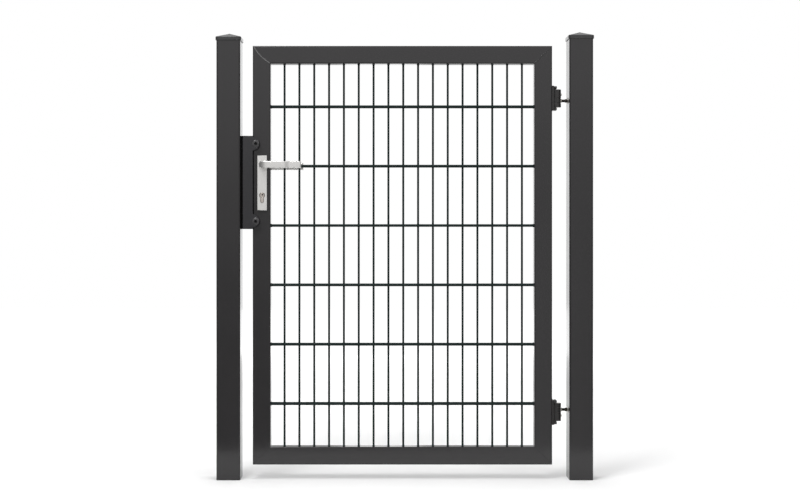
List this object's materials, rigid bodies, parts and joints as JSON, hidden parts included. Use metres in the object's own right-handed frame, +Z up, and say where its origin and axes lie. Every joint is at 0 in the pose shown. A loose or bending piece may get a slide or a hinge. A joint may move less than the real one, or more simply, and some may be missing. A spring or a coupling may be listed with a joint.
{
  "type": "fence gate",
  "caption": "Single-leaf garden gate: capped square steel posts, tube frame with double-wire mesh, eye-bolt hinges, cylinder lock with levers and a stop keep.",
  "frame": {"origin": "middle of the hinge post's foot, on the ground", "axes": "+Z up, +X from the lock post towards the hinge post, -Y the front of the gate; the leaf opens towards +Y"},
  "size_m": [1.266, 0.16, 1.503],
  "materials": {
    "post_coating": "fine matt anthracite powder coat over galvanised steel",
    "frame_coating": "fine matt anthracite powder coat over galvanised steel",
    "keep_coating": "anthracite powder coat",
    "hinge_coating": "anthracite powder coat",
    "wire_coating": "smooth dark anthracite powder coat on welded wire",
    "cap_plastic": "moulded anthracite plastic",
    "black_rubber": "black rubber",
    "zinc_plate": "bright zinc plate",
    "forend_steel": "brushed stainless steel",
    "cylinder_nickel": "satin nickel plate on brass",
    "satin_aluminium": "satin silver anodised"
  },
  "bodies": {
    "posts": {"lock_post": "post_coating", "lock_post_cap": "cap_plastic", "hinge_post": "post_coating", "hinge_post_cap": "cap_plastic", "keep_spacer": "black_rubber", "keep_body": "keep_coating", "upper_keep_bolt": "zinc_plate", "lower_keep_bolt": "zinc_plate", "upper_stop_buffer": "black_rubber", "lower_stop_buffer": "black_rubber", "upper_stop_screw": "keep_coating", "lower_stop_screw": "keep_coating", "upper_eye_bolt": "zinc_plate", "lower_eye_bolt": "zinc_plate", "upper_lock_collar": "zinc_plate", "lower_lock_collar": "zinc_plate", "upper_post_insert": "zinc_plate", "lower_post_insert": "zinc_plate"},
    "leaf": {"lock_stile": "frame_coating", "hinge_stile": "frame_coating", "top_rail": "frame_coating", "bottom_rail": "frame_coating", "mesh_panel": "wire_coating", "lock_case": "zinc_plate", "lock_forend": "forend_steel", "forend_screws": "zinc_plate", "latch_bolt": "zinc_plate", "dead_bolt": "zinc_plate", "front_handle_plate": "satin_aluminium", "back_handle_plate": "satin_aluminium", "handle_screws": "zinc_plate", "lock_cylinder": "cylinder_nickel", "upper_hinge_bracket": "hinge_coating", "lower_hinge_bracket": "hinge_coating", "upper_hinge_pin": "zinc_plate", "lower_hinge_pin": "zinc_plate", "upper_hinge_screws": "hinge_coating", "lower_hinge_screws": "hinge_coating", "upper_set_screw": "zinc_plate", "lower_set_screw": "zinc_plate"},
    "levers": {"front_lever": "satin_aluminium", "back_lever": "satin_aluminium", "spindle": "zinc_plate"}
  },
  "joints": [
    {"name": "leaf_swing", "type": "hinge", "parent": "posts", "child": "leaf", "pos_m": [-0.074, 0, 0.75], "axis": [0, 0, -1], "range_deg": [0, 90]},
    {"name": "lever_turn", "type": "hinge", "parent": "leaf", "child": "levers", "pos_m": [-1.068, 0, 1.052], "axis": [0, 1, 0], "range_deg": [0, 40], "stiffness_Nm_per_rad": 1, "springref_deg": -20.05}
  ]
}
